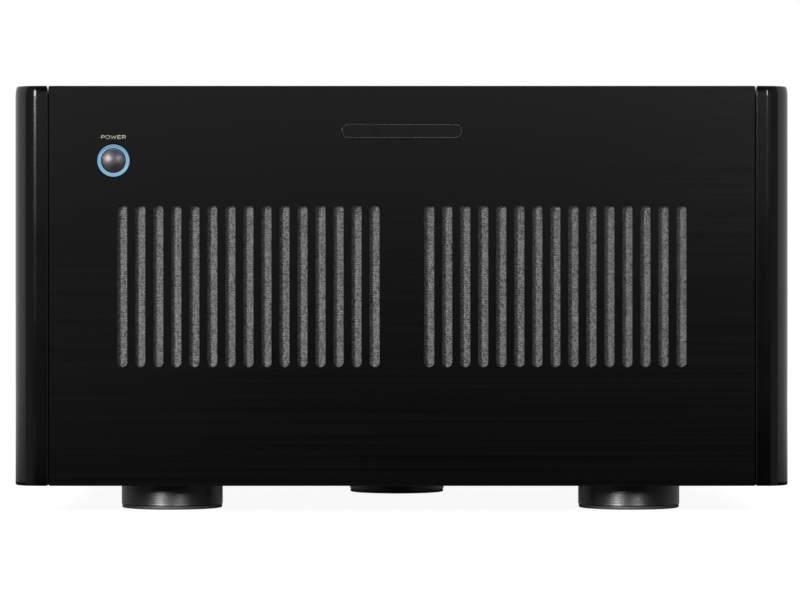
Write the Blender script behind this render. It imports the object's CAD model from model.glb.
"""Looks of a five-channel audio power amplifier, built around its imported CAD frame.

Shapes are drawn in millimetres and become metres when a piece is made. The front faces -Y, +Z is
up and z = 0 is the ground, as in the frame.
"""

import math

import bmesh
import bpy
from mathutils import Matrix, Vector
from mathutils.geometry import tessellate_polygon

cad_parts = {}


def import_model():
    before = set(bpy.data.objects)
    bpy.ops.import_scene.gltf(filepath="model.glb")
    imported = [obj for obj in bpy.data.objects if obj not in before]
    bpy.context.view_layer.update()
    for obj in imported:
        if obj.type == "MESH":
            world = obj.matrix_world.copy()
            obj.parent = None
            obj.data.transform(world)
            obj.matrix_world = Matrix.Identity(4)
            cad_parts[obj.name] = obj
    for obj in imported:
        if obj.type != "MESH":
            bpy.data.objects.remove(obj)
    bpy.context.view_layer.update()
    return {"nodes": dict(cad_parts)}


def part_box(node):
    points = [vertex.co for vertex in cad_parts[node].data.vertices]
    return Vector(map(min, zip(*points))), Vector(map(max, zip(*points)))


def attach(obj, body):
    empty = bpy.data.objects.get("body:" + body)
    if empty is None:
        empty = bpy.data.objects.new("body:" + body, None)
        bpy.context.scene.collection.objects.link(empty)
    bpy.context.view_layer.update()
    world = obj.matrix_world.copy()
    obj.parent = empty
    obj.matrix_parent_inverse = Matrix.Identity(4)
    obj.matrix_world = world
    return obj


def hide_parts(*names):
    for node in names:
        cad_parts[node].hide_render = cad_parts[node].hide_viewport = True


MM = 0.001
SHARP = math.radians(35)

# ---- Sizes that the frame's boxes don't give, in millimetres ---------------------------------

GAP = 0.3
SLOT = {"count": 15, "pitch": 10, "width": 5.5, "length": 90, "first": 15.15, "middle": 126}
HOLE = {"pitch": 1.1, "radius": 0.31}
COLUMN = {"curve": 16, "crease": 9, "lean": math.pi / 9, "round": 4, "inner": 0.8}
CROWN = {"reach": 6.0, "inset": 1.1}
BUTTON = (-160, 195.5)
RING = {"inner": 6.95, "outer": 9.15, "flange": 11.5, "flange_depth": 1}
CAPTION = {"z": 208.5, "width": 13.3, "height": 1.8, "stroke": 0.19}
CAP = {"dome": 1.5, "corner": 0.45, "depth": 10, "stem": 3}
FOOT = {"wall": 28.8, "groove": (27.9, 1.65, 2.0), "lines": 14, "cut": 0.05}
FOOT_PLACES = {
    "front_left_foot": (-130, -164),
    "front_right_foot": (130, -164),
    "middle_foot": (0, 12),
    "rear_left_foot": (-130, 166),
    "rear_right_foot": (130, 166),
}
NECK = 196
SHOULDER = -185.7
VENT = {"width": 5, "inner": 163, "outer": 205, "pitch": 12, "count": 26, "centre": -10}
CENTRE_VENT = {**VENT, "inner": 8, "outer": 52, "count": 10, "centre": -52}
BASE_VENT = {**VENT, "pitch": 24, "count": 13}
CHANNELS = (-152, -76, 0, 76, 152)
REAR_FACE = 194
XLR = {"z": 199, "radius": 11.7, "groove": (7.8, 9.7), "depth": 12, "face": 194.6}
XLR_SCREW = (9.5, 12)
XLR_PINS = ((-3.4, 1.8), (3.4, 1.8), (0, -3.8))
SELECTOR = {"z": 171, "pocket": (9.6, 4.6), "block": (16, 9)}
RCA = {"z": 149, "radius": 4.15, "hole": 5.75, "pin": 1.7, "tip": 203.5}
POST = {"z": 98, "spread": 11, "stud": 3, "bushing": 5, "flange": 9.5, "back": 199, "tip": 217}
THREAD = {"pitch": 1.0, "depth": 0.3}
WASHER = {"radius": 7.7, "bore": 3.4}
KNOB = {"radius": 7.6, "flute": 0.8, "flutes": 9, "socket": 2.1, "bore": 16}
INLET = {"z": 45, "cavity": (24.5, 16.6), "corner": 4.2, "floor": 181.3, "tip": 195.3}
INLET_BODY = (29, 21)
INLET_SCREWS = (-20, 20)
RATING_PLATE = {"x": -130, "size": (64, 26), "rivet": 29}
CONTROL_Z = 45
NETWORK = {"x": 118, "block": (16, 14), "opening": (11.8, 8)}
TRIGGERS = {"places": (146, 162), "radius": 4, "bore": 1.8, "mouth": 2.5}
SIGNAL_BOARD = 168
POST_BOARD = 183
BOARD = 1.6
SOCKET_FRONT = 191.6
PRINT = (0.01, 0.06)
LEAST_CORNER = 0.01


# ---- Outlines --------------------------------------------------------------------------------
# An outline is a function of how far the shape is grown, which gives points in two directions.


def arc(centre, radius, start, end, steps):
    """Points on an arc, from one angle to another."""
    turns = [start + (end - start) * i / steps for i in range(steps + 1)]
    return [(centre[0] + radius * math.cos(t), centre[1] + radius * math.sin(t)) for t in turns]


def without_repeats(points):
    kept = []
    for point in points:
        if not kept or math.dist(point, kept[-1]) > 1e-6:
            kept.append(point)
    if math.dist(kept[0], kept[-1]) < 1e-6:
        kept.pop()
    return kept


def rectangle(u0, u1, v0, v1, radius=0.0, steps=4):
    """A rectangle, with round corners if it has a radius."""

    def outline(grow):
        if not radius:
            return [
                (u1 + grow, v1 + grow),
                (u0 - grow, v1 + grow),
                (u0 - grow, v0 - grow),
                (u1 + grow, v0 - grow),
            ]
        centres = (
            (u1 - radius, v1 - radius),
            (u0 + radius, v1 - radius),
            (u0 + radius, v0 + radius),
            (u1 - radius, v0 + radius),
        )
        reach = max(radius + grow, LEAST_CORNER)
        points = []
        for quarter, (u, v) in enumerate(centres):
            for i in range(steps + 1):
                turn = math.pi / 2 * (quarter + i / steps)
                points.append((u + reach * math.cos(turn), v + reach * math.sin(turn)))
        return without_repeats(points)

    return outline


def centred(u, v, size, radius=0.0, steps=4):
    width, height = size
    return rectangle(
        u - width / 2, u + width / 2, v - height / 2, v + height / 2, radius, steps
    )


def disc(u, v, radius, steps=32):
    def outline(grow):
        turns = [2 * math.pi * i / steps for i in range(steps)]
        reach = radius + grow
        return [(u + reach * math.cos(t), v + reach * math.sin(t)) for t in turns]

    return outline


def waved(u, v, radius, depth, waves, steps=8):
    """A circle with rounded flutes or teeth cut into it."""

    def outline(grow):
        points = []
        for i in range(waves * steps):
            turn = 2 * math.pi * i / (waves * steps)
            reach = radius + grow - depth * (0.5 - 0.5 * math.cos(waves * turn))
            points.append((u + reach * math.cos(turn), v + reach * math.sin(turn)))
        return points

    return outline


def cross(u, v, arm, width):
    """The four-armed recess of a screw head."""

    def outline(grow):
        reach, half = arm + grow, width / 2 + grow
        quarter = [(reach, half), (half, half), (half, reach)]
        corners = []
        for _ in range(4):
            corners += quarter
            quarter = [(-dv, du) for du, dv in quarter]
        return [(u + du, v + dv) for du, dv in corners]

    return outline


# ---- Solid shapes ----------------------------------------------------------------------------


def along_x(u, v, depth):
    return depth, u, v


def along_y(u, v, depth):
    return u, depth, v


def along_z(u, v, depth):
    return u, v, depth


def eased(low, high, edge, way, steps=3, hold=0.0):
    """Levels from low to high with rounded ends; way is -1 for an outside and 1 for a hole."""
    sign = math.copysign(1, high - low)
    turns = [math.pi / 2 * i / steps for i in range(steps + 1)]
    start = [(edge * (1 - math.cos(t)), way * edge * (1 - math.sin(t))) for t in turns]
    if hold:
        start.append((edge + hold, 0))
    return [(low + sign * d, grow) for d, grow in start] + [
        (high - sign * d, grow) for d, grow in reversed(start)
    ]


class Shape:
    """A mesh drawn in millimetres, in which each face has the number of its material."""

    def __init__(self):
        self.mesh = bmesh.new()
        self.material = 0

    def ring(self, points):
        return [self.mesh.verts.new(point) for point in points]

    def face(self, verts):
        made = self.mesh.faces.new(verts)
        made.material_index = self.material
        made.smooth = True
        return made

    def bridge(self, first, second):
        """Joins two rings of the same length; a ring of one point makes a fan."""
        count = max(len(first), len(second))
        for i in range(count):
            corners = [
                first[i % len(first)],
                first[(i + 1) % len(first)],
                second[(i + 1) % len(second)],
                second[i % len(second)],
            ]
            self.face(list(dict.fromkeys(corners)))

    def wall(self, outline, levels, place=along_y):
        """Joins one copy of an outline for each (depth, growth), and returns the end rings."""
        rings = [
            self.ring([place(u, v, depth) for u, v in outline(grow)])
            for depth, grow in levels
        ]
        for first, second in zip(rings, rings[1:]):
            self.bridge(first, second)
        return rings[0], rings[-1]

    def fill(self, *rings):
        """Makes the flat surface inside the first ring and outside the others."""
        if len(rings) == 1:
            faces = [self.face(rings[0])]
        else:
            verts = [v for ring in rings for v in ring]
            triangles = tessellate_polygon([[v.co for v in ring] for ring in rings])
            faces = [self.face([verts[i] for i in corners]) for corners in triangles]
        for face in faces:
            face.smooth = False

    def plate(self, outer, holes, low, high, place, edge=0.3, steps=3):
        """A slab with straight holes, and every edge of it rounded."""
        walls = [self.wall(outer, eased(low, high, edge, -1, steps), place)]
        for hole in holes:
            walls.append(self.wall(hole, eased(low, high, edge, 1, steps), place))
        self.fill(*[first for first, _ in walls])
        self.fill(*[last for _, last in walls])

    def turned(self, profile, place, centre=(0, 0), steps=32, loop=False):
        """Turns a profile of (radius, depth) points, and returns its rings."""
        rings = []
        for radius, depth in profile:
            if radius < 1e-6:
                rings.append(self.ring([place(*centre, depth)]))
                continue
            points = disc(*centre, radius, steps)(0)
            rings.append(self.ring([place(u, v, depth) for u, v in points]))
        for first, second in zip(rings, rings[1:]):
            self.bridge(first, second)
        if loop:
            self.bridge(rings[-1], rings[0])
        return rings

    def block(self, low, high, edge=0.3):
        """A box between two corners, with rounded edges."""
        (x0, y0, z0), (x1, y1, z1) = low, high
        outline = rectangle(x0, x1, z0, z1, edge, 3)
        self.plate(outline, [], y0, y1, along_y, edge)

    def pit(self, outline, top, floor, place, edge=0.0):
        """A blind hole, whose rim is returned for the surface around it."""
        levels = [(top, 0), (floor, 0)]
        if edge:
            levels[:1] = [(top, edge), (top + math.copysign(edge, floor - top), 0)]
        rim, bottom = self.wall(outline, levels, place)
        self.fill(bottom)
        return rim

    def piece(self, name, materials, replaces=(), slot=None, body="case", at=(0, 0, 0)):
        """Turns the drawing into a named piece that rides on a body of the frame."""
        bmesh.ops.recalc_face_normals(self.mesh, faces=self.mesh.faces)
        for edge in self.mesh.edges:
            if len(edge.link_faces) == 2 and edge.calc_face_angle() > SHARP:
                edge.smooth = False
        self.mesh.transform(Matrix.Scale(MM, 4))
        data = bpy.data.meshes.new(name)
        self.mesh.to_mesh(data)
        self.mesh.free()
        for material in materials:
            data.materials.append(material)
        return add_piece(data, name, replaces, slot, body, at)


def add_piece(data, name, replaces=(), slot=None, body="case", at=(0, 0, 0)):
    made = bpy.data.objects.new(name, data)
    made.location = Vector(at) * MM
    bpy.context.scene.collection.objects.link(made)
    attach(made, body)
    if replaces:
        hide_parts(*replaces)
    return made


SHARED_MESHES = {}


def repeated(key, draw, materials, name, place):
    """A piece whose mesh is drawn the first time and shared by the later ones of its key."""
    if key in SHARED_MESHES:
        add_piece(SHARED_MESHES[key], name, *place)
    else:
        SHARED_MESHES[key] = draw().piece(name, materials, *place).data


def span(node):
    """Lowest and highest corner of a CAD node, in millimetres."""
    low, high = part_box(node)
    return low / MM, high / MM


# ---- Materials -------------------------------------------------------------------------------


BOARD_GREEN = (0.012, 0.09, 0.035)
SLEEVE = (0.012, 0.014, 0.03)


class Finish:
    """A procedural material: one Principled shader, varied by noise in object space."""

    def __init__(self, name, colour, roughness, metallic=0.0, **settings):
        self.made = bpy.data.materials.new(name)
        self.made.use_nodes = True
        self.made.diffuse_color = (*colour, 1)
        self.nodes = self.made.node_tree.nodes
        self.shader = self.nodes["Principled BSDF"]
        self.colour = colour
        self.roughness = roughness
        self.normal = None
        self.put("Base Color", (*colour, 1))
        self.put("Roughness", roughness)
        self.put("Metallic", metallic)
        for socket, value in settings.items():
            self.put(socket.replace("_", " ").title().replace("Ior", "IOR"), value)
        self.place = self.nodes.new("ShaderNodeTexCoord").outputs["Object"]

    def put(self, socket, value):
        self.shader.inputs[socket].default_value = value

    def link(self, output, target):
        self.made.node_tree.links.new(output, target)

    def node(self, kind, value=None, socket=0, **numbers):
        """Adds a node, sets its number sockets and links a value into it."""
        made = self.nodes.new(kind)
        for name, number in numbers.items():
            made.inputs[name.replace("_", " ").title()].default_value = number
        if value is not None:
            self.link(value, made.inputs[socket])
        return made

    def compute(self, operation, value, second=0.0):
        """Arithmetic on a value and a number or a second value."""
        made = self.node("ShaderNodeMath", value)
        made.operation = operation
        if isinstance(second, float):
            made.inputs[1].default_value = second
        else:
            self.link(second, made.inputs[1])
        return made.outputs[0]

    def vector_math(self, operation, value, second=(0, 0, 0)):
        made = self.node("ShaderNodeVectorMath", value)
        made.operation = operation
        made.inputs[1].default_value = second
        return made.outputs

    def noise(self, scale, detail=3.0):
        """Noise with so many grains for each metre, the same or different along each axis."""
        each = scale if isinstance(scale, tuple) else (scale,) * 3
        place = self.node("ShaderNodeMapping", self.place, "Vector", scale=each)
        vector = place.outputs["Vector"]
        made = self.node("ShaderNodeTexNoise", vector, "Vector", scale=1.0, detail=detail)
        return made.outputs[0]

    def mapped(self, value, low, high, start=0.3, end=0.7):
        numbers = {"from_min": start, "from_max": end, "to_min": low, "to_max": high}
        return self.node("ShaderNodeMapRange", value, "Value", **numbers).outputs["Result"]

    def axis(self, name):
        return self.node("ShaderNodeSeparateXYZ", self.place).outputs[name]

    def blend(self, share, first, second):
        """A colour between two others."""
        mix = self.nodes.new("ShaderNodeMix")
        mix.data_type = "RGBA"
        self.link(share, mix.inputs[0])
        mix.inputs[6].default_value = (*first, 1)
        mix.inputs[7].default_value = (*second, 1)
        return mix.outputs[2]

    def patina(self, scale, tint=0.15, spread=0.05, detail=3.0):
        """Uneven colour and gloss, as handling and the making of a surface leave them."""
        noise = self.noise(scale, detail)
        dark = tuple(c * (1 - tint) for c in self.colour)
        light = tuple(min(1, c * (1 + tint)) for c in self.colour)
        share = self.mapped(noise, 0, 1)
        self.link(self.blend(share, dark, light), self.shader.inputs["Base Color"])
        low, high = max(0.02, self.roughness - spread), min(1, self.roughness + spread)
        self.link(self.mapped(noise, low, high), self.shader.inputs["Roughness"])
        return self

    def grain(self, scale, height, detail=2.0):
        """Fine relief of this height in millimetres."""
        bump = self.nodes.new("ShaderNodeBump")
        bump.inputs["Distance"].default_value = height * MM
        self.link(self.noise(scale, detail), bump.inputs["Height"])
        if self.normal is not None:
            self.link(self.normal, bump.inputs["Normal"])
        self.normal = bump.outputs["Normal"]
        self.link(self.normal, self.shader.inputs["Normal"])
        return self

    def bands(self, value, low, high, colours):
        """Plain colours that change where a value passes a limit; colours are (limit, colour)."""
        ramp = self.nodes.new("ShaderNodeValToRGB")
        ramp.color_ramp.interpolation = "CONSTANT"
        self.link(self.mapped(value, 0, 1, low, high), ramp.inputs[0])
        elements = ramp.color_ramp.elements
        while len(elements) > 1:
            elements.remove(elements[-1])
        for i, (limit, colour) in enumerate(colours):
            where = (limit - low) / (high - low)
            element = elements[0] if i == 0 else elements.new(where)
            element.position = max(0, where)
            element.color = (*colour, 1)
        self.link(ramp.outputs["Color"], self.shader.inputs["Base Color"])
        return self


def brushed(name, colour, roughness, metallic, along, **settings):
    """Brushed metal: long fine lines along one axis, with a few deeper ones."""
    fine = tuple(25 if i == along else 5500 for i in range(3))
    broad = tuple(4 if i == along else 900 for i in range(3))
    made = Finish(name, colour, roughness, metallic, **settings)
    return made.patina(broad, 0.1, 0.02).grain(fine, 0.002, 3).made


def powder_coat(name, colour):
    made = Finish(name, colour, 0.5).patina(350, 0.12, 0.03)
    return made.grain(2600, 0.03).grain(600, 0.02).made


def moulded(name, colour, roughness=0.35):
    return Finish(name, colour, roughness).patina(60, 0.12, 0.06).grain(1800, 0.008).made


def plated(name, colour, roughness=0.2):
    return Finish(name, colour, roughness, 1.0).patina(160, 0.08, 0.06).grain(500, 0.003).made


def light_material():
    """The ring glows unevenly: its lamp sits low and to the right behind it."""
    low, high = (0.07, 0.21, 0.34), (0.27, 0.49, 0.67)
    made = Finish("blue_light_pipe", (0.03, 0.08, 0.14), 0.2)
    reach = RING["outer"] * MM
    lean = made.vector_math("DOT_PRODUCT", made.place, (0.35, 0, -0.94))["Value"]
    glow = made.mapped(lean, 0, 0.5, -reach, reach)
    flat = made.vector_math("MULTIPLY", made.place, (1, 0, 1))[0]
    away = made.vector_math("LENGTH", flat)["Value"]
    middle = (RING["inner"] + RING["outer"]) / 2 * MM
    lip = made.compute("ABSOLUTE", made.compute("SUBTRACT", away, middle))
    share = made.compute("ADD", glow, made.mapped(lip, 0, 0.5, 0.2 * MM, 0.8 * MM))
    made.link(made.blend(share, low, high), made.shader.inputs["Emission Color"])
    made.put("Emission Strength", 1.0)
    return made.grain(900, 0.01).made


def wound_tape(name):
    """Glossy tape wound through a ring, so that its turns run outwards from the middle."""
    made = Finish(name, (0.02, 0.021, 0.024), 0.25)
    made.patina(50, 0.3, 0.1)
    wave = made.node("ShaderNodeTexWave", made.place, "Vector", scale=28.0, distortion=1.5)
    wave.wave_type = "RINGS"
    bump = made.node("ShaderNodeBump", wave.outputs["Fac"], "Height", distance=0.3 * MM)
    made.link(bump.outputs["Normal"], made.shader.inputs["Normal"])
    return made.made


def make_materials():
    panel = brushed("brushed_black_panel", (0.0015, 0.0015, 0.0016), 0.16, 0.0, 0)
    column = Finish("gloss_black_column", (0.0012, 0.0012, 0.0015), 0.13, ior=1.5)
    foot = Finish("gloss_black_turned", (0.003, 0.003, 0.0034), 0.32, ior=1.5)
    mesh = Finish("grey_perforated_sheet", (0.235, 0.223, 0.231), 0.45, 0.35)
    chrome = Finish("dark_chrome", (0.215, 0.205, 0.212), 0.38, 1.0)
    badge = Finish("gloss_black_badge", (0.004, 0.004, 0.005), 0.09, ior=1.5)
    zinc = Finish("zinc_steel", (0.42, 0.43, 0.44), 0.38, 1.0)
    rubber = Finish("rubber", (0.008, 0.008, 0.008), 0.7)
    return {
        "panel": panel,
        "column": column.patina(25, 0.2, 0.02).grain(90, 0.002).made,
        "foot": foot.patina(80, 0.2, 0.05).made,
        "mesh": mesh.patina(1400, 0.85, 0.15, 1.0).grain(1200, 0.04).made,
        "light": light_material(),
        "light_side": moulded("blue_light_side", (0.01, 0.03, 0.06), 0.3),
        "chrome": chrome.patina(300, 0.1, 0.03).made,
        "badge": badge.patina(120, 0.2, 0.03).made,
        "badge_rim": plated("badge_rim", (0.11, 0.11, 0.115), 0.28),
        "caption": moulded("caption_print", (0.8, 0.73, 0.58), 0.5),
        "paint": powder_coat("black_powder_coat", (0.013, 0.013, 0.0135)),
        "zinc": zinc.patina(90, 0.25, 0.12).grain(700, 0.004).made,
        "dark_plate": powder_coat("dark_inner_plate", (0.006, 0.006, 0.0065)),
        "sink": brushed("black_anodised_fins", (0.02, 0.02, 0.022), 0.4, 0.6, 2),
        "rubber": rubber.patina(90, 0.2, 0.1).grain(1500, 0.03).made,
        "screw": plated("black_oxide_screw", (0.05, 0.05, 0.054), 0.32),
        "nickel": plated("nickel", (0.62, 0.6, 0.57), 0.22),
        "gold": plated("gold_plate", (0.86, 0.6, 0.24), 0.17),
        "black": moulded("black_plastic", (0.011, 0.011, 0.012), 0.38),
        "red": moulded("red_plastic", (0.42, 0.008, 0.012), 0.24),
        "white": moulded("white_plastic", (0.72, 0.71, 0.68), 0.4),
        "print": moulded("white_print", (0.55, 0.55, 0.54), 0.6),
        "green": moulded("green_board", BOARD_GREEN, 0.35),
        "tape": wound_tape("wound_tape"),
        "label": brushed("plain_plate", (0.4, 0.4, 0.41), 0.35, 1.0, 0),
    }


def board_material(name):
    """An amplifier board, whose parts are told apart by their metres from the case's middle."""
    made = Finish(name, BOARD_GREEN, 0.4).patina(60, 0.1, 0.08).grain(900, 0.02)
    away = made.compute("ABSOLUTE", made.axis("X"))
    parts = [
        (0.0, (0.02, 0.05, 0.16)),
        (0.1279, BOARD_GREEN),
        (0.1297, (0.4, 0.38, 0.35)),
        (0.1446, (0.012, 0.012, 0.013)),
    ]
    return made.bands(away, 0.1, 0.15, parts).made


def bank_material(name, low):
    """Capacitors in dark sleeves with bare tops, on a green board that stands on pegs."""
    made = Finish(name, SLEEVE, 0.3).patina(60, 0.1, 0.08).grain(400, 0.01)
    parts = [
        (low, (0.5, 0.5, 0.5)),
        (low + 0.005, BOARD_GREEN),
        (low + 0.0067, SLEEVE),
        (low + 0.1113, (0.45, 0.45, 0.46)),
    ]
    return made.bands(made.axis("Z"), low, low + 0.12, parts).made


# ---- Front -----------------------------------------------------------------------------------


def slot_centres():
    one = [SLOT["first"] + SLOT["pitch"] * i for i in range(SLOT["count"])]
    return [-x for x in reversed(one)] + one


def faceplate(paint):
    """The thick front panel: round-ended slots in front, and a pocket for each grille behind."""
    low, high = span("front_panel")
    grilles = [span("left_grille"), span("right_grille")]
    front, back = low.y, high.y
    pocket_front = grilles[0][0].y - GAP
    shape = Shape()
    border = rectangle(low.x, high.x, low.z, high.z, 0.8, 3)
    outer = shape.wall(border, eased(front, back, 0.4, -1))
    size = (SLOT["width"], SLOT["length"])
    levels = [*eased(front, pocket_front, 0.1, 1)[:4], (pocket_front, 0)]
    slots = []
    for x in slot_centres():
        outline = centred(x, SLOT["middle"], size, SLOT["width"] / 2, 8)
        slots.append(shape.wall(outline, levels))
    bore = disc(*BUTTON, RING["outer"] + GAP, 64)
    hole = shape.wall(bore, eased(front, back, 0.15, 1))
    shape.fill(outer[0], hole[0], *[first for first, _ in slots])
    pockets = []
    for side, (inner, outside) in enumerate(grilles):
        outline = rectangle(
            inner.x - GAP, outside.x + GAP, inner.z - GAP, outside.z + GAP, 1.5, 4
        )
        pocket = shape.wall(outline, [(pocket_front, 0), (back, 0)])
        first = side * SLOT["count"]
        behind = [last for _, last in slots[first : first + SLOT["count"]]]
        shape.fill(pocket[0], *behind)
        pockets.append(pocket[1])
    shape.fill(outer[1], hole[1], *pockets)
    shape.piece("faceplate", [paint["panel"]], ["front_panel"], "brushed_black_aluminium")


def column_outline(low, high, side):
    """Seen from above: a flat land beside the panel, then curves round to the outer flank."""
    inner, outer = sorted((abs(low.x), abs(high.x)))
    curve, crease, lean, back = (COLUMN[key] for key in ("curve", "crease", "lean", "round"))
    ease = COLUMN["inner"]
    turn = outer - curve
    land = (turn + (curve - crease) * math.sin(lean), low.y + crease)
    centre = (turn, land[1] + (curve - crease) * math.cos(lean))
    start = -math.pi / 2

    def outline(grow):
        points = arc((inner + ease, low.y + ease), ease + grow, -math.pi, start, 12)
        points += arc(land, crease + grow, start, start + lean, 10)
        points += arc(centre, curve + grow, start + lean, 0, 40)[1:]
        points += arc((outer - back, high.y - back), back + grow, 0, math.pi / 2, 8)
        points.append((inner - grow, high.y + grow))
        return [(side * x, y) for x, y in points]

    return outline


def crown(top, reach, inset, steps=14):
    """Levels of a column's top, which draws in slowly at first and then turns over."""
    turns = [math.pi / 2 * i / steps for i in range(steps + 1)]
    return [(top - reach * (1 - math.sin(t)), -inset * (1 - math.cos(t))) for t in turns]


def columns(paint):
    for side, name in ((-1, "left"), (1, "right")):
        low, high = span(name + "_column")
        shape = Shape()
        levels = eased(low.z, high.z, CROWN["inset"], -1, 5, 1.0)
        levels = levels[: len(levels) // 2] + crown(high.z, **CROWN)
        bottom, top = shape.wall(column_outline(low, high, side), levels, along_z)
        shape.fill(bottom)
        shape.fill(top)
        replaced = [name + "_column"]
        shape.piece(name + "_bullnose", [paint["column"]], replaced, "gloss_black_metal")


def perforate(shape, x0, x1, z0, z1, y):
    """A thin sheet with staggered six-sided holes."""
    across = round((x1 - x0) / HOLE["pitch"])
    up = round((z1 - z0) / (HOLE["pitch"] * math.sqrt(0.75)))
    step, rise = (x1 - x0) / across / 2, (z1 - z0) / up
    grid = {}

    def corner(i, j):
        if (i, j) not in grid:
            grid[i, j] = shape.mesh.verts.new((x0 + i * step, y, z0 + j * rise))
        return grid[i, j]

    turns = [math.radians(90 - 60 * i) for i in range(6)]
    spokes = [(HOLE["radius"] * math.cos(t), HOLE["radius"] * math.sin(t)) for t in turns]
    around = ((1, 1), (2, 1), (2, 0), (1, 0), (0, 0), (0, 1))
    for j in range(up):
        shift = j % 2
        for i in range(across - shift):
            left = 2 * i + shift
            middle = (x0 + (left + 1) * step, z0 + (j + 0.5) * rise)
            border = [corner(left + di, j + dj) for di, dj in around]
            hole = shape.ring([(middle[0] + du, y, middle[1] + dv) for du, dv in spokes])
            shape.bridge(border, hole)
        if shift:
            for i in (0, 2 * across - 1):
                ends = [corner(i + di, j + dj) for di, dj in ((0, 0), (1, 0), (1, 1), (0, 1))]
                shape.face(ends)


def grille(name, paint):
    """A shallow tray of perforated sheet with a plain border and a folded rim."""
    low, high = span(name)
    sheet = 1.0
    shape = Shape()
    sides = (low.x, high.x, low.z, high.z)
    inset = [low.x + sheet, high.x - sheet, low.z + sheet, high.z - sheet]
    rim = eased(low.y, high.y, 0.5, -1)[:4] + [(high.y, 0)]
    outer = shape.wall(rectangle(*sides, 1.2), rim)
    inner = shape.wall(rectangle(*inset, 0.6), [(high.y, 0), (low.y + sheet, 0)])
    shape.fill(outer[1], inner[0])
    side = 1 if low.x > 0 else -1
    spare = 0.8
    reach = SLOT["width"] / 2 + spare
    last = SLOT["first"] + SLOT["pitch"] * (SLOT["count"] - 1)
    ends = sorted((side * (SLOT["first"] - reach), side * (last + reach)))
    half = SLOT["length"] / 2 + spare
    field = (*ends, SLOT["middle"] - half, SLOT["middle"] + half)
    frame = shape.wall(rectangle(*field), [(low.y, 0), (low.y + sheet, 0)])
    shape.fill(outer[0], frame[0])
    shape.fill(inner[1], frame[1])
    perforate(shape, *field, low.y)
    shape.piece(name.replace("grille", "mesh"), [paint["mesh"]], [name], "grey_mesh")


def light_ring(paint):
    """A clear pipe with two round lips, pushed in from behind and held by its flange."""
    low, high = span("power_light_ring")
    inner, outer, flange = RING["inner"], RING["outer"], RING["flange"]
    flange_front = high.y - RING["flange_depth"]
    middle = (inner + outer) / 2
    face = [
        (inner, low.y + 0.35),
        (inner + 0.12, low.y + 0.08),
        (inner + 0.35, low.y),
        (inner + 0.62, low.y + 0.12),
        (middle, low.y + 0.2),
        (outer - 0.85, low.y + 0.12),
        (outer - 0.6, low.y),
        (outer - 0.35, low.y + 0.1),
        (outer - 0.25, low.y + 0.4),
    ]
    body = [
        (outer, low.y + 0.6),
        (outer, flange_front),
        (flange, flange_front),
        (flange, high.y),
        (inner, high.y),
    ]
    shape = Shape()
    rings = shape.turned(face, along_y, steps=96)
    shape.material = 1
    sides = shape.turned(body, along_y, steps=96)
    shape.bridge(rings[-1], sides[0])
    shape.bridge(sides[-1], rings[0])
    at = (BUTTON[0], 0, BUTTON[1])
    materials = [paint["light"], paint["light_side"]]
    shape.piece("light_pipe", materials, ["power_light_ring"], "light_ring", at=at)


def push_button(paint):
    """A domed cap on a stem."""
    low, high = span("power_button")
    radius = (high.x - low.x) / 2
    dome, corner, depth, stem = (CAP[key] for key in ("dome", "corner", "depth", "stem"))
    round_radius = (radius**2 + dome**2) / (2 * dome)
    steps = 14
    profile = [(0, low.y)]
    for i in range(1, steps + 1):
        reach = (radius - corner) * i / steps
        fall = round_radius - math.sqrt(round_radius**2 - reach**2)
        profile.append((reach, low.y + fall))
    edge = (radius - corner, low.y + dome + corner)
    profile += arc(edge, corner, -math.pi / 2, 0, 5)[1:]
    profile += [
        (radius, low.y + depth - 0.2),
        (radius - 0.2, low.y + depth),
        (stem, low.y + depth),
        (stem, high.y - 0.4),
        (stem - 0.4, high.y),
        (0, high.y),
    ]
    shape = Shape()
    shape.turned(profile, along_y, steps=64)
    at = (BUTTON[0], 0, BUTTON[1])
    body = "power_button"
    shape.piece("dome_button", [paint["chrome"]], [body], "dark_chrome", body, at)


BOWL = ((0, 0), (0, 1), (0.8, 1), (1, 0.85))
LOOP = ((0.2, 0), (0, 0.2), (0, 0.8), (0.2, 1), (0.8, 1), (1, 0.8), (1, 0.2), (0.8, 0), (0.2, 0))
LETTERS = {
    "P": ((*BOWL, (1, 0.6), (0.8, 0.45), (0, 0.45)),),
    "O": (LOOP,),
    "W": (((0, 1), (0.27, 0), (0.5, 0.85), (0.73, 0), (1, 1)),),
    "E": (((1, 1), (0, 1), (0, 0), (1, 0)), ((0, 0.5), (0.85, 0.5))),
    "R": ((*BOWL, (1, 0.62), (0.8, 0.48), (0, 0.48)), ((0.5, 0.48), (1, 0))),
}
WIDE_LETTERS = {"O": 1.1, "W": 1.7}
LETTER_GAP = 0.42


def stroke(shape, points, width, low, high):
    """A printed line of constant width through points, with mitred bends."""
    left, right = [], []
    steps = [(Vector(b) - Vector(a)).normalized() for a, b in zip(points, points[1:])]
    for i, (u, v) in enumerate(points):
        runs = steps[max(0, i - 1) : i + 1]
        along = sum(runs, Vector((0, 0))).normalized()
        across = Vector((-along.y, along.x))
        stretch = 1 / max(0.5, across.dot(Vector((-runs[0].y, runs[0].x))))
        offset = across * width / 2 * stretch
        left.append((u + offset.x, v + offset.y))
        right.append((u - offset.x, v - offset.y))
    for i in range(len(points) - 1):
        corners = [left[i], left[i + 1], right[i + 1], right[i]]
        rings = [shape.ring([along_y(u, v, depth) for u, v in corners]) for depth in (low, high)]
        shape.bridge(*rings)
        shape.fill(rings[0])
        shape.fill(rings[1])


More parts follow.
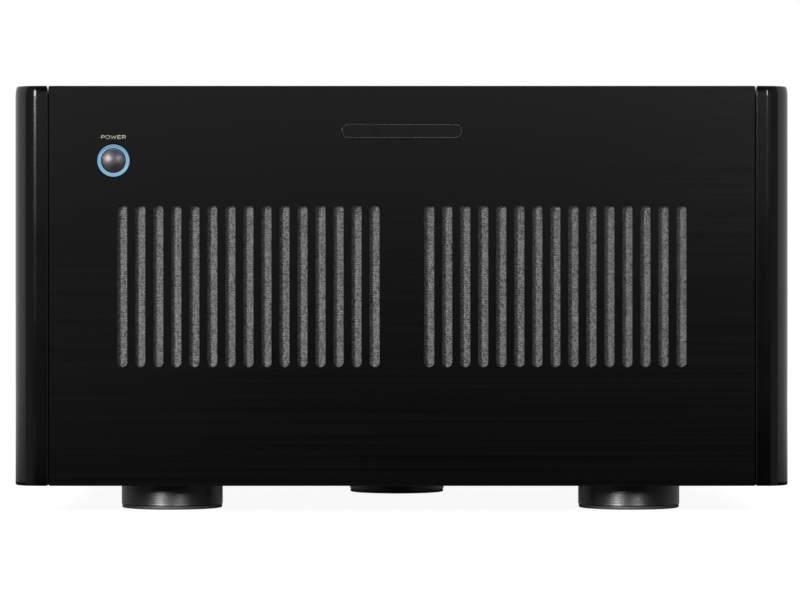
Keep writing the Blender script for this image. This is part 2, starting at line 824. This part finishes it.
def caption(paint):
    """The word over the button, in thin printed strokes."""
    face = span("front_panel")[0].y
    word = "POWER"
    widths = [WIDE_LETTERS.get(letter, 1.0) for letter in word]
    unit = CAPTION["width"] / (sum(widths) + LETTER_GAP * (len(word) - 1))
    left = BUTTON[0] - CAPTION["width"] / 2
    shape = Shape()
    for letter, width in zip(word, widths):
        for line in LETTERS[letter]:
            points = [
                (left + u * width * unit, CAPTION["z"] + (v - 0.5) * CAPTION["height"])
                for u, v in line
            ]
            stroke(shape, points, CAPTION["stroke"], face - PRINT[1], face - PRINT[0])
        left += (width + LETTER_GAP) * unit
    shape.piece("button_caption", [paint["caption"]])


def badge(paint):
    """A plain raised bar with a polished rim and a sunk field."""
    low, high = span("nameplate")
    half = (high.z - low.z) / 2
    shape = Shape()
    shape.material = 1
    outer = rectangle(low.x, high.x, low.z, high.z, half, 24)
    rim = 0.55
    inner = rectangle(low.x + rim, high.x - rim, low.z + rim, high.z - rim, half - rim, 24)
    wall = shape.wall(outer, eased(low.y, high.y, 0.25, -1)[:4] + [(high.y, 0)])
    lip = shape.wall(inner, [(low.y, 0.1), (low.y + 0.1, 0), (low.y + 0.3, 0)])
    shape.fill(wall[0], lip[0])
    shape.fill(wall[1])
    shape.material = 0
    shape.fill(lip[1])
    materials = [paint["badge"], paint["badge_rim"]]
    shape.piece("plain_badge", materials, ["nameplate"], "black_badge")


# ---- Feet ------------------------------------------------------------------------------------


def foot_shape(top):
    """A turned foot with fine tool lines, a groove and a soft toe around its screw."""
    wall, (neck, groove_low, groove_high) = FOOT["wall"], FOOT["groove"]
    shape = Shape()
    shape.material = 1
    toe = [(9, 6), (9, 0.4), (9.4, 0), (27.5, 0), (28, 0.1), (28.35, 0.35), (28.5, 0.75)]
    toe += [(28.5, 1.25), (28.4, 1.5), (28.1, groove_low), (neck, groove_low)]
    shape.turned(toe, along_z, steps=96)
    shape.material = 0
    body = [(neck, groove_low), (neck, groove_high), (28.4, groove_high)]
    body += [(28.7, groove_high + 0.1), (wall, groove_high + 0.4)]
    start, end = groove_high + 0.6, top - 0.6
    pitch, cut = (end - start) / FOOT["lines"], wall - FOOT["cut"]
    for i in range(FOOT["lines"]):
        z = start + pitch * i
        body += [(wall, z), (cut, z + pitch * 0.35), (cut, z + pitch * 0.65)]
    body += [(wall, end), (wall - 0.4, top), (0, top)]
    shape.turned(body, along_z, steps=96)
    shape.material = 2
    shape.turned([(9, 6), (6.2, 6), (6.2, 4.6), (5.4, 3.4), (4.2, 3.1)], along_z, steps=48)
    recess = shape.pit(cross(0, 0, 3, 1.1), 3.1, 4.6, along_z)
    rim = shape.ring([along_z(u, v, 3.1) for u, v in disc(0, 0, 4.2, 48)(0)])
    shape.fill(rim, recess)
    return shape


def feet(paint):
    top = span("middle_foot")[1].z
    materials = [paint["foot"], paint["rubber"], paint["screw"]]
    for name, (x, y) in FOOT_PLACES.items():
        place = ([name], "foot_plastic", "case", (x, y, 0))
        repeated("foot", lambda: foot_shape(top), materials, "turned_" + name, place)


# ---- Case ------------------------------------------------------------------------------------


def screw(shape, u, v, face, place, radius, height=1.5, out=1):
    """A pan-head screw with a cross recess; out is 1 or -1, the way that its head points."""
    rise = [(1, 0), (1, 0.45), (0.93, 0.75), (0.75, 0.93), (0.62, 1)]
    profile = [(radius * r, face + out * height * h) for r, h in rise]
    rings = shape.turned(profile, place, (u, v), 28)
    top = face + out * height
    floor_level = top - out * height * 0.6
    recess = shape.pit(cross(u, v, radius * 0.5, radius * 0.2), top, floor_level, place)
    shape.fill(rings[-1], recess)
    shape.fill(rings[0])


def screws(name, places, face, place, paint, radius, out=1):
    shape = Shape()
    for u, v in places:
        screw(shape, u, v, face, place, radius, out=out)
    shape.piece(name, [paint["screw"]], (), "plated_steel")


def case_outline(half, front, back):
    """Narrow between the columns and full width behind them, seen from above."""

    def outline(grow):
        neck, wide = NECK + grow, half + grow
        right = [
            (neck, front - grow),
            (neck, SHOULDER - grow),
            (wide, SHOULDER - grow),
            (wide, back + grow),
        ]
        return right + [(-x, y) for x, y in reversed(right)]

    return outline


def vents(row):
    made = []
    for i in range(row["count"]):
        y = row["centre"] + row["pitch"] * (i - (row["count"] - 1) / 2)
        half = row["width"] / 2
        for side in (-1, 1):
            ends = sorted((side * row["inner"], side * row["outer"]))
            made.append(rectangle(*ends, y - half, y + half, half, 5))
    return made


def cover_and_base(paint):
    low, high = span("top_cover")
    shape = Shape()
    holes = vents(VENT) + vents(CENTRE_VENT)
    outline = case_outline(high.x, low.y, high.y)
    shape.plate(outline, holes, low.z, high.z, along_z, 0.5)
    shape.piece("vented_cover", [paint["paint"]], ["top_cover"], "black_paint")
    places = [(x, 184) for x in (-190, -64, 64, 190)] + [(x, -206) for x in (-140, 0, 140)]
    screws("cover_screws", places, high.z, along_z, paint, radius=3)

    low, high = span("chassis_base")
    shape = Shape()
    outline = case_outline(high.x, low.y, high.y)
    shape.plate(outline, vents(BASE_VENT), low.z, high.z, along_z, 0.3)
    shape.piece("zinc_base", [paint["zinc"]], ["chassis_base"], "plated_steel")
    places = [(x, y) for x in (-156, 156) for y in (-150, -10, 130)]
    places += [(x, y) for x in (-80, 80) for y in (-206, 100)] + [(0, -206), (0, -130), (0, 100)]
    screws("base_screws", places, low.z, along_z, paint, out=-1, radius=3.4)


def side_panels(paint):
    places = [(y, z) for y in (-172, -52, 68, 180) for z in (30, 221)]
    for side, name in ((-1, "left"), (1, "right")):
        low, high = span(name + "_side_panel")
        shape = Shape()
        outline = rectangle(low.y, high.y, low.z, high.z, 1, 3)
        shape.plate(outline, [], low.x, high.x, along_x, 0.5)
        replaced = [name + "_side_panel"]
        shape.piece(name + "_flank", [paint["paint"]], replaced, "black_paint")
        face = high.x if side > 0 else low.x
        screws(name + "_flank_screws", places, face, along_x, paint, out=side, radius=3)


def rear_plate(paint):
    low, high = span("rear_panel")
    holes = []
    for x in CHANNELS:
        holes.append(disc(x, XLR["z"], XLR["radius"] + GAP, 48))
        holes.append(centred(x, SELECTOR["z"], SELECTOR["pocket"], 0.6))
        holes.append(disc(x, RCA["z"], RCA["hole"]))
        for side in (-1, 1):
            holes.append(disc(x + side * POST["spread"], POST["z"], POST["bushing"] + GAP))
    for x, z, size, corner in (
        (0, INLET["z"], INLET_BODY, 1),
        (NETWORK["x"], CONTROL_Z, NETWORK["block"], 0.5),
    ):
        holes.append(centred(x, z, [extent + 2 * GAP for extent in size], corner))
    holes += [disc(x, CONTROL_Z, TRIGGERS["radius"] + GAP) for x in TRIGGERS["places"]]
    shape = Shape()
    outer = rectangle(low.x, high.x, low.z, high.z, 0.8, 3)
    shape.plate(outer, holes, low.y, high.y, along_y, 0.25)
    shape.piece("socket_panel", [paint["paint"]], ["rear_panel"], "black_paint")
    edge = [(x, z) for x in (-206, -114, 114, 206) for z in (23, 227)]
    edge += [(x, z) for z in (227, 23) for x in (-38, 38)]
    edge += [(x, 125) for x in (-206, 206)]
    screws("rear_panel_screws", edge, high.y, along_y, paint, radius=3)
    socket_screws(high.y, paint)


def socket_screws(face, paint):
    """Two small screws on each balanced input, and two on the inlet's flange."""
    shape = Shape()
    across, up = XLR_SCREW
    for x in CHANNELS:
        for side in (-1, 1):
            screw(shape, x + side * across, XLR["z"] - side * up, face, along_y, 2.4, 1.2)
    flange = span("mains_inlet")[1].y
    for x in INLET_SCREWS:
        screw(shape, x, INLET["z"], flange, along_y, 2.6, 1.2)
    shape.piece("socket_screws", [paint["nickel"]], (), "plated_steel")


def line_frame(shape, u, v, size, radius, width=0.5):
    """A thin printed frame on the rear panel."""
    inner = [extent - 2 * width for extent in size]
    outline = centred(u, v, size, radius, 6)
    hole = centred(u, v, inner, radius - width, 6)
    bottom, top = (REAR_FACE + depth for depth in PRINT)
    walls = [shape.wall(edge, [(top, 0), (bottom, 0)]) for edge in (outline, hole)]
    shape.fill(*[first for first, _ in walls])
    shape.fill(*[last for _, last in walls])


def rear_print(paint):
    """Printed frames around each channel, with plus and minus signs over its terminals."""
    shape = Shape()
    low, high = (REAR_FACE + depth for depth in PRINT)
    for x in CHANNELS:
        line_frame(shape, x, 178.5, (44, 78), 3)
        line_frame(shape, x, POST["z"] + 2, (56, 40), 3)
        v, arm, line = POST["z"] + 14.5, 1.7, 0.6
        minus, plus = (x + side * POST["spread"] for side in (-1, 1))
        for u in (minus, plus):
            stroke(shape, [(u - arm, v), (u + arm, v)], line, low, high)
        for way in (-1, 1):
            points = [(plus, v + way * line / 2), (plus, v + way * arm)]
            stroke(shape, points, line, low, high)
    line_frame(shape, 140, CONTROL_Z, (72, 30), 3)
    shape.piece("rear_print", [paint["print"]])
    shape = Shape()
    x, z, face = RATING_PLATE["x"], INLET["z"], REAR_FACE + 0.4
    outline = centred(x, z, RATING_PLATE["size"], 1.5)
    shape.plate(outline, [], REAR_FACE, face, along_y, 0.1)
    rivet = [(1.1, face), (0.9, face + 0.35), (0, face + 0.45)]
    for side in (-1, 1):
        shape.turned(rivet, along_y, (x + side * RATING_PLATE["rivet"], z), 16)
    shape.piece("plain_rating_plate", [paint["label"]])


# ---- Rear connectors -------------------------------------------------------------------------

BLACK, NICKEL, GOLD, WHITE, GREEN = range(5)


def connector_materials(paint):
    return [paint[name] for name in ("black", "nickel", "gold", "white", "green")]


def circuit_board(shape, u, v, size, y):
    shape.material = GREEN
    shape.plate(centred(u, v, size, 1), [], y, y + BOARD, along_y, 0.1, 1)


def socket_block(shape, x, z, half, edge):
    """A socket's square body, between its board and the rear panel."""
    low, high = (x - half, SIGNAL_BOARD + BOARD, z - half), (x + half, SOCKET_FRONT, z + half)
    shape.block(low, high, edge)


def xlr_socket(shape, x):
    """A balanced input: a metal rim, a deep groove and an insert with three contacts."""
    z = XLR["z"]
    centre = (x, z)
    face, floor = XLR["face"], XLR["face"] - XLR["depth"]
    inner, outer = XLR["groove"]
    radius = XLR["radius"]
    shape.material = NICKEL
    rim = [(radius, floor - 2), (radius, face - 0.5), (radius - 0.15, face - 0.15)]
    rim += [(radius - 0.5, face), (outer + 0.4, face), (outer + 0.1, face - 0.1)]
    rim += [(outer, face - 0.4), (outer, floor)]
    shape.turned(rim, along_y, centre, 64)
    shape.material = BLACK
    top = face - 0.5
    insert = [(outer, floor), (inner, floor), (inner, top - 0.5)]
    insert += [(inner - 0.15, top - 0.15), (inner - 0.5, top)]
    rings = shape.turned(insert, along_y, centre, 64)
    rims = []
    for du, dv in XLR_PINS:
        shape.material = GOLD
        rims.append(shape.pit(disc(x + du, z + dv, 1.35, 20), top, top - 7, along_y, 0.2))
    shape.material = BLACK
    shape.fill(rings[-1], *rims)
    socket_block(shape, x, z, 13, 1)
    shape.block((x - 1.1, floor, z - outer - 0.1), (x + 1.1, face - 1, z - inner + 0.1), 0.2)
    shape.material = NICKEL
    shape.block((x - 3, face - 2, z + outer - 1), (x + 3, face + 0.5, z + outer + 1.7), 0.25)


def selector_socket(shape, x):
    """The slide switch's body, hollow behind the opening in the panel."""
    shape.material = BLACK
    z = SELECTOR["z"]
    hollow = centred(x, z, SELECTOR["pocket"], 0.6)
    back, front = SIGNAL_BOARD + BOARD, SOCKET_FRONT
    outer = shape.wall(centred(x, z, SELECTOR["block"], 0.6), [(back, 0), (front, 0)])
    rim = shape.pit(hollow, front, front - 4.5, along_y)
    shape.fill(outer[0])
    shape.fill(outer[1], rim)


def rca_socket(shape, x):
    """An unbalanced input: a gilt shell with a nut, an insulator and a sprung centre contact."""
    centre = (x, RCA["z"])
    tip, radius = RCA["tip"], RCA["radius"]
    shape.material = NICKEL
    low = REAR_FACE + 0.05
    washer = [(radius, low), (7.1, low), (7.1, low + 0.55), (radius, low + 0.75)]
    shape.turned(washer, along_y, centre, 40)
    shape.material = GOLD
    shape.plate(disc(*centre, 6.2, 6), [disc(*centre, radius, 24)], 194.7, 197.2, along_y, 0.25, 1)
    shell = [(radius, 191), (radius, tip - 0.5), (radius - 0.15, tip - 0.15), (radius - 0.4, tip)]
    shell += [(3.45, tip), (3.3, tip - 0.15), (3.3, tip - 0.9)]
    shape.turned(shell, along_y, centre, 40)
    shape.material = WHITE
    shape.turned([(3.3, tip - 0.9), (RCA["pin"] + 0.3, tip - 0.9)], along_y, centre, 40)
    shape.material = GOLD
    pin = RCA["pin"]
    contact = [(pin + 0.3, tip - 0.9), (pin + 0.25, tip - 0.5), (pin, tip - 0.6)]
    contact += [(pin, tip - 9), (0, tip - 9)]
    shape.turned(contact, along_y, centre, 40)
    shape.material = BLACK
    socket_block(shape, x, RCA["z"], 6.5, 0.6)


def input_sockets(paint):
    low, high = span("input_board")
    shape = Shape()
    middle = (low.z + high.z) / 2
    circuit_board(shape, 0, middle, (high.x - low.x, high.z - low.z), SIGNAL_BOARD)
    for x in CHANNELS:
        xlr_socket(shape, x)
        selector_socket(shape, x)
        rca_socket(shape, x)
    shape.piece("input_sockets", connector_materials(paint), ["input_board"], "black_plastic")


def selector_levers(paint):
    """A ribbed cap on each slide switch."""
    for i in range(len(CHANNELS)):
        name = f"input_selector_{i + 1}"
        low, high = span(name)
        shape = Shape()
        ribs = 4
        width = (high.x - low.x) / (2 * ribs - 1)
        shape.block(low, (high.x, high.y - 0.7, high.z), 0.25)
        for rib in range(ribs):
            left = low.x + 2 * rib * width
            near, far = (left, high.y - 1.5, low.z + 0.1), (left + width, high.y, high.z - 0.1)
            shape.block(near, far, 0.15)
        shape.piece(f"selector_lever_{i + 1}", [paint["white"]], [name], "white_plastic", name)


def network_mouth(grow):
    """The network socket's mouth, with a notch for the plug's latch."""
    width, height = (size / 2 + grow for size in NETWORK["opening"])
    tab, step = 3.1 + grow, 1.6
    left = [(-width, height), (-width, -height), (-tab, -height), (-tab, -height - step)]
    right = [(-u, v) for u, v in reversed(left)]
    outline = [right[-1], *left, *right[:-1]]
    return [(NETWORK["x"] + u, CONTROL_Z + v) for u, v in outline]


def network_socket(shape, face):
    shape.material = NICKEL
    x = NETWORK["x"]
    levels = [(SIGNAL_BOARD + BOARD, 0), (face - 0.3, 0), (face, -0.3)]
    outer = shape.wall(centred(x, CONTROL_Z, NETWORK["block"], 0.6), levels)
    rim = shape.wall(network_mouth, [(face, 0), (face - 0.6, 0)])[0]
    shape.fill(outer[0])
    shape.fill(outer[1], rim)
    shape.material = BLACK
    bottom = shape.wall(network_mouth, [(face - 0.6, 0), (face - 12, 0)])[1]
    shape.fill(bottom)
    shape.material = GOLD
    top = CONTROL_Z + NETWORK["opening"][1] / 2
    for i in range(8):
        u = x + 1.02 * (i - 3.5)
        shape.block((u - 0.2, face - 11.5, top - 1.6), (u + 0.2, face - 2.2, top - 1.2), 0.05)


def trigger_socket(shape, x, face):
    centre = (x, CONTROL_Z)
    radius, bore, mouth = (TRIGGERS[key] for key in ("radius", "bore", "mouth"))
    shelf, floor = face - 0.9, face - 12
    shape.material = NICKEL
    nut = [(radius, SOCKET_FRONT - 0.6), (radius, face - 0.3), (radius - 0.3, face)]
    nut += [(mouth + 0.2, face), (mouth, face - 0.2), (mouth, shelf)]
    shape.turned(nut, along_y, centre, 36)
    shape.material = BLACK
    profile = [(mouth, shelf), (bore, shelf), (bore, floor), (0, floor)]
    shape.turned(profile, along_y, centre, 36)
    socket_block(shape, *centre, 6, 0.5)


def control_sockets(paint):
    """A network socket and two trigger sockets on their own board."""
    low, high = span("control_board")
    shape = Shape()
    middle, size = (low.x + high.x) / 2, (high.x - low.x, high.z - low.z)
    circuit_board(shape, middle, CONTROL_Z, size, SIGNAL_BOARD)
    network_socket(shape, high.y)
    for x in TRIGGERS["places"]:
        trigger_socket(shape, x, high.y)
    materials = connector_materials(paint)
    shape.piece("control_sockets", materials, ["control_board"], "black_plastic")


def inlet_outline(grow):
    """The mains socket's opening, whose two upper corners are cut off."""
    width, height = (size / 2 + grow for size in INLET["cavity"])
    cut = INLET["corner"] + grow * 0.41
    z = INLET["z"]
    return [
        (width, z - height),
        (width, z + height - cut),
        (width - cut, z + height),
        (cut - width, z + height),
        (-width, z + height - cut),
        (-width, z - height),
    ]


def power_inlet(paint):
    low, high = span("mains_inlet")
    flange = (high.x - low.x, high.z - low.z)
    front, face = REAR_FACE + GAP, high.y
    shape = Shape()
    levels = [*eased(face, front, 0.5, -1)[:4], (front, 0)]
    outer = shape.wall(centred(0, INLET["z"], flange, 3), levels)
    block = centred(0, INLET["z"], INLET_BODY, 1)
    body = shape.wall(block, [(front, 0), (low.y, 0)])
    rim = shape.pit(inlet_outline, face, INLET["floor"], along_y, 0.5)
    shape.fill(outer[0], rim)
    shape.fill(outer[1], body[0])
    shape.fill(body[1])
    shape.material = 1
    for x, rise in ((-7, -2), (7, -2), (0, 2.2)):
        z = INLET["z"] + rise
        shape.block((x - 1, INLET["floor"] - 0.5, z - 2), (x + 1, INLET["tip"], z + 2), 0.3)
    materials = [paint["black"], paint["nickel"]]
    shape.piece("power_inlet", materials, ["mains_inlet"], "black_plastic")


def post_positions():
    return [x + side * POST["spread"] for x in CHANNELS for side in (-1, 1)]


def terminal_posts(paint):
    """Threaded gilt studs through insulating flanges, soldered to one board."""
    low, high = span("speaker_terminal_board")
    shape = Shape()
    circuit_board(shape, 0, POST["z"], (high.x - low.x, 30), POST_BOARD)
    keys = ("back", "tip", "stud", "bushing", "flange")
    back, tip, stud, bushing, flange = (POST[key] for key in keys)
    start, front = POST_BOARD + BOARD, REAR_FACE + GAP
    collar = [(0, start), (bushing, start), (bushing, front), (flange, front)]
    collar += [(flange, back - 1.2), (flange - 0.25, back - 0.8), (flange - 0.8, back - 0.6)]
    collar += [(7.9, back - 0.6)]
    pitch, root = THREAD["pitch"], stud - THREAD["depth"]
    thread = [(7.9, back - 0.6), (7.7, back - 0.1), (7.4, back), (stud, back)]
    for i in range(int((tip - back - 1) / pitch)):
        y = back + 0.3 + pitch * i
        thread += [(root, y), (stud, y + pitch / 2)]
    thread += [(root, tip - 0.5), (stud - 0.7, tip), (0, tip)]
    for x in post_positions():
        shape.material = BLACK
        shape.turned(collar, along_y, (x, POST["z"]), 48)
        shape.material = GOLD
        shape.turned(thread, along_y, (x, POST["z"]), 24)
    replaced = ["speaker_terminal_board"]
    shape.piece("terminal_posts", connector_materials(paint), replaced, "gold_metal")


def terminal_washer(low, high):
    shape = Shape()
    teeth = waved(0, 0, WASHER["radius"], 0.25, 40, 4)
    outer = shape.wall(teeth, eased(low, high, 0.35, -1))
    bore = shape.wall(disc(0, 0, WASHER["bore"], 32), eased(low, high, 0.25, 1))
    shape.fill(outer[0], bore[0])
    shape.fill(outer[1], bore[1])
    return shape


def terminal_knob(low, high):
    """A fluted grip with a gilt end, bored for the stud and for a plug."""
    shape = Shape()
    grip_end = high - 4.4
    flutes = waved(0, 0, KNOB["radius"], KNOB["flute"], KNOB["flutes"], 10)
    levels = [(low, -0.7), (low + 0.25, -0.25), (low + 0.7, 0), (low + 1.4, 0), (grip_end - 2, 0)]
    levels += [(grip_end - 0.9, -0.15), (grip_end - 0.3, -0.5), (grip_end, -1)]
    start, end = shape.wall(flutes, levels)
    depths = [(low, 0), (low + KNOB["bore"], 0)]
    bore, shelf = shape.wall(disc(0, 0, WASHER["bore"], 32), depths)
    shape.fill(start, bore)
    shape.material = 1
    cap = [(5.9, grip_end), (5.9, high - 0.7), (5.7, high - 0.25), (5.2, high), (2.9, high)]
    cap += [(2.4, high - 0.2), (KNOB["socket"], high - 0.6), (KNOB["socket"], low + KNOB["bore"])]
    rings = shape.turned(cap, along_y, (0, 0), 48)
    shape.fill(shelf, rings[-1])
    shape.material = 0
    shape.fill(end, rings[0])
    return shape


def speaker_terminals(paint):
    """Each washer and knob is drawn once about its own axis and set out on the studs."""
    washer = [corner.y for corner in span("clamp_washer_1")]
    knob = [corner.y for corner in span("terminal_knob_1")]
    for i, x in enumerate(post_positions()):
        at = (x, 0, POST["z"])
        body = f"clamp_washer_{i + 1}"
        place = ([body], "gold_metal", body, at)
        label = f"gilt_washer_{i + 1}"
        repeated("washer", lambda: terminal_washer(*washer), [paint["gold"]], label, place)
        colour = "red" if i % 2 else "black"
        body = f"terminal_knob_{i + 1}"
        place = ([body], colour + "_plastic", body, at)
        materials = [paint[colour], paint["gold"]]
        label = f"fluted_knob_{i + 1}"
        repeated(colour, lambda: terminal_knob(*knob), materials, label, place)


# ---- Inside ----------------------------------------------------------------------------------


def transformers(paint):
    """Toroidal transformers with rounded windings, a steel washer and a bolt."""
    for name in ("front_transformer", "rear_transformer"):
        low, high = span(name)
        radius, hole, corner = (high.x - low.x) / 2, 22, 16
        middle = (low.y + high.y) / 2
        shape = Shape()
        profile = [(hole, low.z + 2), (hole + 3, low.z)]
        for z, start in ((low.z + corner, -math.pi / 2), (high.z - corner, 0)):
            profile += arc((radius - corner, z), corner, start, start + math.pi / 2, 8)
        profile += [(hole + 3, high.z), (hole, high.z - 2)]
        shape.turned(profile, along_z, steps=96, loop=True)
        shape.material = 1
        washer = [(0, high.z - 3), (34, high.z - 1.2), (34, high.z - 0.2), (9, high.z - 2.4)]
        shape.turned(washer, along_z, steps=64)
        shape.plate(disc(0, 0, 7.5, 6), [], high.z - 2.4, high.z, along_z, 0.4, 1)
        at = (0, middle, 0)
        materials = [paint["tape"], paint["zinc"]]
        shape.piece("wound_" + name, materials, [name], "transformer_winding", at=at)


def repaint(nodes, names, material):
    """Gives CAD nodes that stay in view a procedural material."""
    for name in names:
        slots = nodes[name].data.materials
        slots.clear()
        slots.append(material)


def inside(nodes, paint):
    transformers(paint)
    repaint(nodes, ["left_heatsink", "right_heatsink"], paint["sink"])
    repaint(nodes, ["inner_front_plate"], paint["dark_plate"])
    repaint(nodes, ["power_switch"], paint["green"])
    boards = [f"amplifier_board_{i}" for i in range(1, 6)]
    repaint(nodes, boards, board_material("amplifier_board"))
    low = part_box("left_capacitor_bank")[0].z
    banks = ["left_capacitor_bank", "right_capacitor_bank"]
    repaint(nodes, banks, bank_material("capacitor_bank", low))


# ---- Studio ----------------------------------------------------------------------------------

CAMERA = {"place": (-0.029, -2.424, 0.125), "lens": 178.5, "shift": (0.063, -0.0154)}
FRONT_GLOW = ((-0.05, 0.0), (0.0, 0.05), (0.035, 0.2), (0.055, 0.5), (0.12, 0.45), (0.3, 0.06))
FLANK_GLOW = 0.22
BACK_GLOW = 0.85
LOW_GLOW = 0.03
FLANK_EDGE = (-0.9, -0.65)
BACK_EDGE = (-0.28, -0.17)
FLOOR_EDGE = (-0.055, -0.035)
FLOOR_GLOW = 0.93

# A lamp's place is its azimuth to the right and its elevation, in degrees from TARGET, and its
# distance in metres. It shows either in gloss or on matte surfaces.
TARGET = (0, -0.224, 0.126)
KEY = ((-28, 11.8, 3.6), (0.8, 0.8))
FILL = ((18, 13, 3.2), (0.2, 0.65))
LAMPS = (
    ("key", *KEY, 37, "gloss"),
    ("fill", *FILL, 9, "gloss"),
    ("low glow", (-9, -1.5, 3.2), (0.6, 0.24), 0.035, "gloss"),
    ("lamp", (-35, 20, 3.0), (0.2, 0.3), 95, "matte"),
)
FOOT_LAMPS = (("left glint", *KEY, 360, "gloss"), ("right glint", *FILL, 110, "gloss"))


def camera():
    data = bpy.data.cameras.new("camera")
    data.lens = CAMERA["lens"]
    data.sensor_width = 36
    data.shift_x, data.shift_y = CAMERA["shift"]
    made = bpy.data.objects.new("camera", data)
    made.location = CAMERA["place"]
    made.rotation_euler = (math.pi / 2, 0, 0)
    bpy.context.scene.collection.objects.link(made)
    bpy.context.scene.camera = made


def softbox(name, place, target, size, power):
    data = bpy.data.lights.new(name, "AREA")
    data.shape = "RECTANGLE"
    data.size, data.size_y = size
    data.energy = power
    made = bpy.data.objects.new(name, data)
    made.location = place
    aim = Vector(target) - Vector(place)
    made.rotation_euler = aim.to_track_quat("-Z", "Y").to_euler()
    made.visible_camera = False
    bpy.context.scene.collection.objects.link(made)
    return made


def lamp(name, where, size, power, shows):
    azimuth, elevation, distance = where
    a, e = math.radians(azimuth), math.radians(elevation)
    ahead = Vector((math.sin(a) * math.cos(e), -math.cos(a) * math.cos(e), math.sin(e)))
    made = softbox(name, Vector(TARGET) + ahead * distance, TARGET, size, power)
    made.visible_diffuse = shows == "matte"
    made.visible_glossy = shows == "gloss"
    return made


def lights():
    for row in LAMPS:
        lamp(*row)
    softbox("overhead", (0, 0.1, 2.2), (0, 0, 0.2), (2.2, 1.6), 26)
    behind = softbox("behind", (0.9, 2.6, 1.3), (0, 0.2, 0.12), (1.4, 1.0), 60)
    behind.visible_glossy = False


def foot_glints():
    """Lamps that only the glossy feet catch."""
    feet_only = bpy.data.collections.new("feet")
    for name in FOOT_PLACES:
        feet_only.objects.link(bpy.data.objects["turned_" + name])
    for row in FOOT_LAMPS:
        lamp(*row).light_linking.receiver_collection = feet_only


def world():
    """White walls behind and beside the object, and a darker room in front of it."""
    made = bpy.data.worlds.new("studio")
    bpy.context.scene.world = made
    made.use_nodes = True
    nodes, link = made.node_tree.nodes, made.node_tree.links.new
    split = nodes.new("ShaderNodeSeparateXYZ")
    link(nodes.new("ShaderNodeTexCoord").outputs["Generated"], split.inputs[0])

    def mapped(value, start, end):
        node = nodes.new("ShaderNodeMapRange")
        node.inputs["From Min"].default_value = start
        node.inputs["From Max"].default_value = end
        link(value, node.inputs["Value"])
        return node.outputs["Result"]

    def mixed(share, first, second):
        node = nodes.new("ShaderNodeMix")
        for socket, value in zip((0, 2, 3), (share, first, second)):
            if isinstance(value, float):
                node.inputs[socket].default_value = value
            else:
                link(value, node.inputs[socket])
        return node.outputs[0]

    (low, low_glow), *between, (high, high_glow) = FRONT_GLOW
    ramp = nodes.new("ShaderNodeValToRGB")
    ramp.color_ramp.interpolation = "EASE"
    link(mapped(split.outputs["Z"], low, high), ramp.inputs[0])
    elements = ramp.color_ramp.elements
    elements[0].color = (low_glow, low_glow, low_glow, 1)
    elements[-1].color = (high_glow, high_glow, high_glow, 1)
    for height, glow in between:
        elements.new((height - low) / (high - low)).color = (glow, glow, glow, 1)
    front = mixed(mapped(split.outputs["Y"], *FLANK_EDGE), ramp.outputs["Color"], FLANK_GLOW)
    beside = mixed(mapped(split.outputs["Z"], *FLOOR_EDGE), LOW_GLOW, BACK_GLOW)
    around = mixed(mapped(split.outputs["Y"], *BACK_EDGE), front, beside)
    seen = nodes.new("ShaderNodeLightPath").outputs["Is Camera Ray"]
    link(mixed(seen, around, 1.0), nodes["Background"].inputs["Color"])


def floor():
    """A white floor that only the camera sees, with a faint shadow where the feet stand."""
    size = 30
    data = bpy.data.meshes.new("floor")
    corners = [(-size, -size, 0), (size, -size, 0), (size, size, 0), (-size, size, 0)]
    data.from_pydata(corners, [], [(0, 1, 2, 3)])
    made = bpy.data.objects.new("floor", data)
    bpy.context.scene.collection.objects.link(made)
    made.visible_glossy = False
    made.visible_diffuse = False
    made.visible_transmission = False
    paint = Finish("pale_floor", (0.15, 0.15, 0.15), 0.9, emission_color=(1, 1, 1, 1))
    paint.put("Emission Strength", FLOOR_GLOW)
    clear = paint.nodes.new("ShaderNodeBsdfTransparent")
    mix = paint.nodes.new("ShaderNodeMixShader")
    below = paint.nodes.new("ShaderNodeNewGeometry").outputs["Backfacing"]
    paint.link(below, mix.inputs[0])
    paint.link(paint.shader.outputs[0], mix.inputs[1])
    paint.link(clear.outputs[0], mix.inputs[2])
    paint.link(mix.outputs[0], paint.nodes["Material Output"].inputs["Surface"])
    data.materials.append(paint.made)


# ---- The whole scene -------------------------------------------------------------------------

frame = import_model()
bpy.context.scene.view_settings.view_transform = "Standard"

camera()
lights()
world()
floor()

paints = make_materials()
faceplate(paints)
columns(paints)
grille("left_grille", paints)
grille("right_grille", paints)
light_ring(paints)
push_button(paints)
caption(paints)
badge(paints)
feet(paints)
foot_glints()
cover_and_base(paints)
side_panels(paints)
rear_plate(paints)
rear_print(paints)
input_sockets(paints)
selector_levers(paints)
control_sockets(paints)
power_inlet(paints)
terminal_posts(paints)
speaker_terminals(paints)
inside(frame["nodes"], paints)
